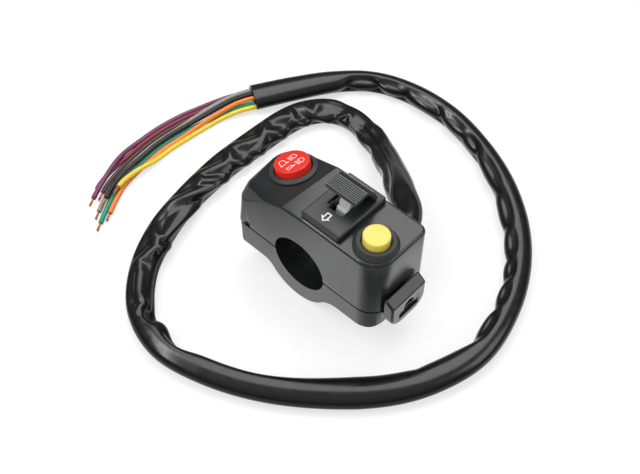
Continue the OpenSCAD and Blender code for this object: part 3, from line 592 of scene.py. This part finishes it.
def fold_depth(s, angle):
    """How far the sleeve's wall is pushed in, in mm, at s mm along it and at an angle round it.
    0 degrees is the outer side of the loop, 90 the top, 180 the inner side and 270 the floor."""
    reach = 4.9 * pi / 180
    open_side = ease((angle + 40) / 40) * ease((235 - angle) / 40)

    def line_distance(points):
        far = np.full(np.broadcast(s, angle).shape, 1e3)
        for (s0, a0), (s1, a1) in zip(points, points[1:]):
            ds, da = s1 - s0, (a1 - a0) * reach
            ps, pa = s - s0, (angle - a0) * reach
            t = np.clip((ps * ds + pa * da) / (ds * ds + da * da), 0, 1)
            far = np.minimum(far, np.hypot(ps - t * ds, pa - t * da))
        return far

    # Buckled left arm: rounded ridges run across it, and the panels between them are hollow
    ridges = (
        [(94, 200), (98, 165), (102, 138), (97, 30)], [(102, 138), (107, 40)],
        [(106, 200), (109, 165), (112, 125), (110, 60), (107, 30)], [(112, 98), (116, 70), (120, 30)],
        [(120, 40), (125, 90), (128, 112), (134, 90), (139, 40)], [(125, 90), (122, 130), (119, 200)],
        [(128, 112), (133, 150), (131, 200)],
        [(139, 30), (144, 99), (147, 105), (153, 79), (158, 40)], [(145, 102), (142, 155), (138, 210)],
        [(158, 50), (159, 95), (156, 134), (151, 200)],
        [(153, 170), (159, 150), (165, 113), (169, 86), (174, 40)],
        [(186, 40), (190, 97), (188, 130), (178, 160), (168, 200)],
        [(190, 97), (194, 112), (199, 80), (203, 36)],
        [(202, 60), (206, 76), (214, 80), (219, 100), (222, 60)],
        [(194, 112), (193, 150), (190, 200)])
    crest = np.minimum.reduce([line_distance(line) for line in ridges])
    crest = np.sqrt(crest ** 2 + 0.5) - sqrt(0.5)
    flank = ease((angle - 22) / 40) * ease((232 - angle) / 50)
    strength = ease((s - 84) / 12) * ease((226 - s) / 8) * flank
    depth = 1.75 * strength * (1 - np.exp(-(crest / 2.5) ** 1.3))
    # Small ridge where the first bend ends
    lip = line_distance([(74, 150), (81, 142), (85, 102), (89.5, 152)])
    depth = depth + 0.9 * ease((s - 72) / 6) * ease((94 - s) / 6) * (1 - np.exp(-(lip / 1.2) ** 2))
    # Fold lobe on the inner side of the first bend: a long valley beside it and two notches
    valley = line_distance([(20, 158), (32, 138), (45, 122), (60, 112), (76, 120)])
    depth = depth + 1.1 * np.exp(-(valley / 1.5) ** 2) * ease((s - 18) / 14) * ease((84 - s) / 10)
    for at, deep, wide in ((41, 1.4, 5), (63, 1.6, 4)):
        depth = depth + deep * np.exp(-((s - at) / wide) ** 2) * ease((angle - 138) / 40)
    # Dent where the sleeve comes out from behind the housing
    depth = depth + 0.9 * np.exp(-((s - 15) / 6) ** 2 - ((angle - 108) / 26) ** 2)
    # Kink at the lower left, with a lobe after it
    depth = depth + 4.2 * np.exp(-np.abs((s - 224) / 3.4) ** 1.6) * ease((angle - 62) / 75)
    depth = depth + 2.0 * np.exp(-((s - 240) / 7) ** 2) * ease((angle - 92) / 45)
    depth = depth + 1.0 * ease((s - 232) / 14) * ease((306 - s) / 40) * ease((angle - 112) / 45)
    # Notches on the inner side of the right and top arm, each a sharp valley that runs up to the top band
    notches = ((327, 0.7, 3, 112), (350, 2.3, 4.5, 100), (368, 1.5, 3.5, 98), (380.5, 1.7, 3.5, 92),
               (391, 1.2, 3, 92),
               (405, 1.3, 4, 92), (424, 1.6, 4, 88), (445, 1.7, 5, 86), (456, 1.4, 3, 90), (470, 1.9, 4, 84),
               (489, 2.1, 4, 88), (502, 2.3, 3.4, 80), (515, 2.3, 3.4, 82))
    for k, (at, deep, wide, apex) in enumerate(notches):
        lean = (3.0 if k % 2 else -1.5) * (180 - angle) / 90
        across = np.sqrt((s - at - lean) ** 2 + 0.12)
        depth = depth + deep * np.exp(-(across / wide) ** 1.2) * ease((angle - apex) / 70)
    # Flat lens between two notches
    for (a, *_), (b, *_) in zip(notches[1:], notches[2:]):
        middle, half = (a + b) / 2, (b - a) / 2.6
        depth = depth + 0.75 * np.exp(-np.abs((s - middle) / half) ** 3 - np.abs((angle - 118) / 21) ** 3)
    return depth * open_side


def sleeve_width(s):
    """Width of the sleeve in mm: the buckled stretches are drawn in or spread."""
    at = (0, 12, 30, 60, 72, 84, 96, 112, 130, 150, 168, 185, 202, 225, 240, 270, 305, 335, 370, 392, 410,
          450, 480, 505, 522, 540, 555)
    wide = (9.6, 10.4, 11.2, 10.6, 11.2, 12, 12.2, 12.8, 13, 12.6, 11.6, 12, 11.2, 10.8, 10.6, 10.4, 11.4,
            10.6, 9.8, 10.2, 10.8, 9.6, 10, 9.8, 10.8, 12.2, 12.8)
    return np.interp(s, at, wide)


# Glossy black PVC: near-black, wet-looking gloss with soft scuffs about 4 mm across.
sleeve_pvc, tree, shader, place = start_material("gloss_black_pvc", IOR=1.54)
scuffs_and_light_patches = noise(tree, place, 4 * MM, 5.0)
two_tone(tree, shader, scuffs_and_light_patches, "#0f0f10", "#171718")
gloss(tree, shader, scuffs_and_light_patches, 0.17, 0.27, 0.35, 0.75)
skin = noise(tree, place, 1.5 * MM, 3.0)
grained(tree, shader, skin, 0.1, 0.05 * MM)


def sleeve_mesh(name):
    """The sleeve as one wall with an open far end, its middle line, and its length in metres."""
    round_half, flat_half, thickness = 4.8, SLEEVE_HEIGHT / 2, 0.75
    flat_from, flat_over = 9, 56
    fine = smooth_route(sleeve_route, 24)
    run = np.concatenate([[0], np.cumsum(np.linalg.norm(np.diff(fine, axis=0), axis=1))])
    sides, inner = 88, 22
    even = np.linspace(0, run[-1], 760)
    ahead = np.gradient(np.stack([np.interp(even, run, fine[:, k]) for k in range(3)], 1), axis=0)
    spell = 9
    soft = np.hanning(2 * spell + 1) / np.hanning(2 * spell + 1).sum()
    ahead = np.pad(ahead, ((spell, spell), (0, 0)), mode="edge")
    ahead = np.stack([np.convolve(ahead[:, k], soft, "valid") for k in range(3)], 1)
    # Rings stand closer where the sleeve is folded
    coarse, close, folded_from, folded_to = 0.8, 0.38, 74, 232
    s = np.concatenate([np.arange(0, folded_from, coarse), np.arange(folded_from, folded_to, close),
                        np.arange(folded_to, run[-1] - coarse / 2, coarse), [run[-1]]])
    rings = len(s)
    centre = np.stack([np.interp(s, run, fine[:, k]) for k in range(3)], 1)
    ahead = np.stack([np.interp(s, even, ahead[:, k]) for k in range(3)], 1)
    ahead /= np.linalg.norm(ahead, axis=1)[:, None]
    side = np.cross(ahead, (0, 0, 1))
    side /= np.linalg.norm(side, axis=1)[:, None]
    lift = np.cross(side, ahead)
    angle = np.arange(sides) * 360 / sides - 90
    flat = ease((s - flat_from) / flat_over)
    half_w = sleeve_width(s) / 2
    half_h = round_half + (flat_half - round_half) * flat
    turn = np.radians(angle)
    wide = half_w[:, None] * np.cos(turn)[None]
    high = half_h[:, None] * np.sin(turn)[None]
    length = np.hypot(wide, high)
    push = 1 - np.minimum(fold_depth(s[:, None], angle[None]), 0.8 * length) / length

    def wall(scale, keep):
        grid = (centre[keep, None] + (wide * scale)[keep][..., None] * side[keep, None]
                + (high * scale)[keep][..., None] * lift[keep, None])
        return grid.reshape(-1, 3)

    outside = wall(push, np.arange(rings))
    thin = 1 - thickness / length
    inside = wall(thin, np.arange(rings - 1, rings - 1 - inner, -1))
    points = np.concatenate([outside, inside]) * MM
    faces = []
    for i in range(rings + inner - 1):
        for k in range(sides):
            a, b = i * sides + k, i * sides + (k + 1) % sides
            faces.append((a, b, b + sides, a + sides))
    faces.append(tuple(range(sides - 1, -1, -1)))
    faces.append(tuple((rings + inner - 1) * sides + k for k in range(sides)))
    mesh = bpy.data.meshes.new(name)
    mesh.from_pydata(points.tolist(), [], faces)
    piece = bpy.data.objects.new(name, mesh)
    bpy.context.collection.objects.link(piece)
    only(piece)
    bpy.ops.object.mode_set(mode="EDIT")
    bpy.ops.mesh.select_all(action="SELECT")
    bpy.ops.mesh.normals_make_consistent(inside=False)
    bpy.ops.object.mode_set(mode="OBJECT")
    bpy.ops.object.shade_smooth_by_angle(angle=radians(50))
    mesh.materials.append(sleeve_pvc)
    return piece, centre[::6] * MM, run[-1] * MM


sleeve, sleeve_line, sleeve_length = sleeve_mesh("slack_pvc_sleeve")
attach(sleeve, "housing")
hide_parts("cable_sleeve")

# Eight wires: stranded copper in coloured PVC, cut to length. They leave the sleeve with five below and three
# above, spread out and come down on the floor, then draw together, each with its end stripped.
WIRE_R = 0.95
fan_route = [(-79.5, 43.5), (-84, 35.5), (-87.5, 25.5), (-90, 14), (-91, 2), (-90, -9), (-87, -20),
             (-82.5, -30), (-76.5, -40)]
PITCH = 1.91
STRAND_R, BARE = 0.13, 3.4
# Each wire: two tones, then place across and row in the sleeve, on the way and at its end, in pitches,
# then the number of stretches of the fan's route that it covers
wires = {
    "purple": ("#6f365c", "#85466d", (-2.4, 0), (-3.25, 0), (-2.7, 1), 7.2),
    "red": ("#7c1c36", "#922843", (-1.3, 0), (-2.25, 0), (-3.5, 0), 6.7),
    "brown": ("#432c24", "#543a2f", (-0.25, 0), (-1.25, 0), (-1.95, 0), 6.8),
    "grey": ("#948e8a", "#aca5a0", (-1.7, 1), (-0.25, 0), (-0.95, 0), 7.5),
    "black": ("#161617", "#202022", (-0.5, 1), (0.8, 0.9), (-0.3, 1), 7.1),
    "green": ("#149077", "#22a88c", (1.3, 0), (1.25, 0), (0.3, 0), 8),
    "orange": ("#f5822f", "#fb943f", (0.7, 1), (2.25, 0), (1.3, 0), 7.5),
    "yellow": ("#f7d436", "#fce14a", (2.35, 0), (3.25, 0), (0.85, 1), 6.5)}

# Bare copper: drawn strands, warm and bright, a little tarnished along their length.
copper, tree, shader, place = start_material("bare_copper", Metallic=1.0)
tarnish = noise(tree, place, 1.5 * MM, 3.0)
two_tone(tree, shader, tarnish, "#a8663a", "#d99a66")
gloss(tree, shader, tarnish, 0.25, 0.45)

fan_line = smooth_route(fan_route, 20)
for colour, (dark, light, first, middle, last, stations) in wires.items():
    line = []
    for k in range(int(round(stations * 10)) + 1):
        s = k / 10
        here = fan_line[k * 2]
        run = fan_line[min(k * 2 + 1, len(fan_line) - 1)] - fan_line[max(k * 2 - 1, 0)]
        run = run / np.linalg.norm(run)
        spread = ease((s - 1.4) / 2) if colour == "yellow" else ease(s / 3.2)
        settle, rise, gather = ease((s - 1.8) / 1.7), ease((s - 4.2) / 1.5), ease((s - 4.7) / 1.9)
        off = ((first[0] * (1 - spread) + middle[0] * spread) * (1 - gather) + last[0] * gather) * PITCH
        row = (first[1] * (1 - settle) + middle[1] * settle) * (1 - rise) + last[1] * rise
        held_up = (SLEEVE_HEIGHT - PITCH - 2 * WIRE_R) / 2 * (1 - ease(s / 2.4))
        height = WIRE_R + held_up + row * PITCH
        line.append((here[0] - run[1] * off, here[1] + run[0] * off, FLOOR + height))
    line = np.array(line)
    wire = drawn("wire_" + colour + "_pvc", [line * MM], WIRE_R * MM, wire_pvc(colour + "_pvc", dark, light))
    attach(wire, "housing")
    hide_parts("wire_" + colour)
    # Seven strands with a slight lay, splayed towards the tip
    tip, run = line[-1], (line[-1] - line[-2]) / np.linalg.norm(line[-1] - line[-2])
    across = np.array((-run[1], run[0], 0))
    strands = []
    for n in range(7):
        off_middle = 0 if n == 0 else 2 * STRAND_R + 0.01
        strand = []
        for share in np.linspace(0, 1, 9):
            turn = 2 * pi * n / 6 + 0.9 * share
            splay = off_middle * (1 + (0.25 + 0.1 * (n % 3)) * share ** 2)
            strand.append(tip + run * (BARE + 0.12 * n) * share
                          + splay * (cos(turn) * across + sin(turn) * np.array((0, 0, 1))))
        strands.append(np.array(strand) * MM)
    ends = drawn("stripped_" + colour, strands, STRAND_R * MM, copper, resolution=2)
    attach(ends, "housing")
    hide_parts("copper_ends")

# Studio: white paper under the object, a large soft box behind it, a smaller one on the right, a long strip
# at the front left, a fill from the front and a pale room.
bpy.ops.object.select_all(action="DESELECT")
bpy.ops.mesh.primitive_plane_add(size=6, location=(0, 0, FLOOR * MM))
floor = bpy.context.object
floor.name = "studio_floor"
paper = bpy.data.materials.new("white_paper")
paper.use_nodes = True
tree = paper.node_tree
tree.nodes.clear()
sight = add(tree, "ShaderNodeLightPath")
seen = add(tree, "ShaderNodeMath", {"operation": "MAXIMUM"},
           {0: sight.outputs["Is Camera Ray"], 1: sight.outputs["Is Glossy Ray"]})
seen = add(tree, "ShaderNodeMath", {"operation": "MAXIMUM"},
           {0: seen.outputs[0], 1: sight.outputs["Is Transmission Ray"]})
glow = add(tree, "ShaderNodeMath", {"operation": "MULTIPLY", 1: 0.62}, {0: seen.outputs[0]})
# In reflections the floor is darker on the camera's side and towards the horizon, as in a small studio,
# and has a dark card in front of the lamp end
arriving = add(tree, "ShaderNodeNewGeometry")
forward = add(tree, "ShaderNodeVectorMath", {"operation": "DOT_PRODUCT", 1: (-0.68, 0.73, 0)},
              {0: arriving.outputs["Incoming"]})
near_side = add(tree, "ShaderNodeMapRange",
                {"interpolation_type": "SMOOTHSTEP", "From Min": 0.15, "From Max": 0.5, "To Min": 1.0, "To Max": 0.1},
                {"Value": forward.outputs["Value"]})
steep = add(tree, "ShaderNodeSeparateXYZ", {}, {"Vector": arriving.outputs["Incoming"]})
far_off = add(tree, "ShaderNodeMapRange",
              {"interpolation_type": "SMOOTHSTEP", "From Min": 0.24, "From Max": 0.72, "To Min": 0.08, "To Max": 1.0},
              {"Value": steep.outputs["Z"]})
mirrored = add(tree, "ShaderNodeMath", {"operation": "MULTIPLY"},
               {0: near_side.outputs["Result"], 1: far_off.outputs["Result"]})
spot = add(tree, "ShaderNodeVectorMath", {"operation": "DISTANCE", 1: (-0.042, -0.045, FLOOR * MM)},
           {0: arriving.outputs["Position"]})
card = add(tree, "ShaderNodeMapRange", {"From Min": 0.008, "From Max": 0.038, "To Min": 0.0, "To Max": 1.0},
           {"Value": spot.outputs["Value"]})
mirrored = add(tree, "ShaderNodeMath", {"operation": "MULTIPLY"},
               {0: mirrored.outputs[0], 1: card.outputs["Result"]})
glow = add(tree, "ShaderNodeMix", {"data_type": "FLOAT"},
           {0: sight.outputs["Is Glossy Ray"], 2: glow.outputs[0], 3: mirrored.outputs[0]})
light = add(tree, "ShaderNodeEmission", {"Color": (1, 1, 1, 1)}, {"Strength": glow.outputs[0]})
matt = add(tree, "ShaderNodeBsdfDiffuse", {"Color": (0.45, 0.45, 0.45, 1)})
both = add(tree, "ShaderNodeAddShader", {}, {0: light.outputs[0], 1: matt.outputs[0]})
add(tree, "ShaderNodeOutputMaterial", {}, {"Surface": both.outputs[0]})
floor.data.materials.append(paper)


def soft_box(name, towards, distance, width, height, radiance, mirrored=True, along=(0, 0, 1)):
    """Rectangular lamp of that radiance, facing the object from a direction, its height along another."""
    lamp = bpy.data.lights.new(name, "AREA")
    lamp.shape = "RECTANGLE"
    lamp.size, lamp.size_y = width, height
    lamp.energy = radiance * pi * width * height
    box = bpy.data.objects.new(name, lamp)
    bpy.context.collection.objects.link(box)
    away = Vector(towards).normalized()
    right = Vector(along).cross(away).normalized()
    turn = Matrix((right, away.cross(right), away)).transposed()
    box.matrix_world = Matrix.Translation(away * distance) @ turn.to_4x4()
    box.visible_glossy = mirrored


soft_box("back_soft_box", (-0.22, 0.43, 0.875), 0.9, 0.7, 0.7, 2.6)
soft_box("right_soft_box", (0.68, 0.45, 0.58), 0.9, 0.45, 0.45, 2.2)
soft_box("strip_box", (-0.44, -0.4, 0.8), 1.0, 0.13, 1.0, 9.5, along=(0, 1, 0))
soft_box("front_fill", (0.25, -0.85, 0.42), 1.0, 0.8, 0.5, 2.4, mirrored=False)
world = bpy.data.worlds.new("pale_room")
bpy.context.scene.world = world
world.use_nodes = True
tree = world.node_tree
tree.nodes.clear()
sight = add(tree, "ShaderNodeLightPath")
up = add(tree, "ShaderNodeTexCoord")
height = add(tree, "ShaderNodeSeparateXYZ", {}, {"Vector": up.outputs["Generated"]})
room = add(tree, "ShaderNodeMapRange", {"From Min": 0.3, "From Max": 0.95, "To Min": 0.1, "To Max": 0.45},
           {"Value": height.outputs["Z"]})
level = add(tree, "ShaderNodeMix", {"data_type": "FLOAT", 3: 1.0},
            {0: sight.outputs["Is Camera Ray"], 2: room.outputs["Result"]})
sky = add(tree, "ShaderNodeBackground", {"Color": (1, 1, 1, 1)}, {"Strength": level.outputs[0]})
add(tree, "ShaderNodeOutputWorld", {}, {"Surface": sky.outputs[0]})
bpy.context.scene.view_settings.view_transform = "Standard"

# Camera at the photograph's place, from the fit of the bore and the straight edges, for a 640 by 474 frame.
lens = bpy.data.cameras.new("photo_camera")
lens.sensor_fit = "HORIZONTAL"
lens.sensor_width = 36
lens.lens = 55.63
lens.clip_start = 0.01
camera = bpy.data.objects.new("photo_camera", lens)
bpy.context.collection.objects.link(camera)
turn, rise = radians(42.9), radians(52.14)
back = Vector((sin(turn) * cos(rise), -cos(turn) * cos(rise), sin(rise)))
right = Vector((cos(turn), sin(turn), 0))
camera.matrix_world = Matrix.Translation(Vector((139.62, -152.25, 268.77)) * MM) @ Matrix(
    (right, back.cross(right), back)).transposed().to_4x4()
bpy.context.scene.camera = camera

bpy.context.view_layer.update()
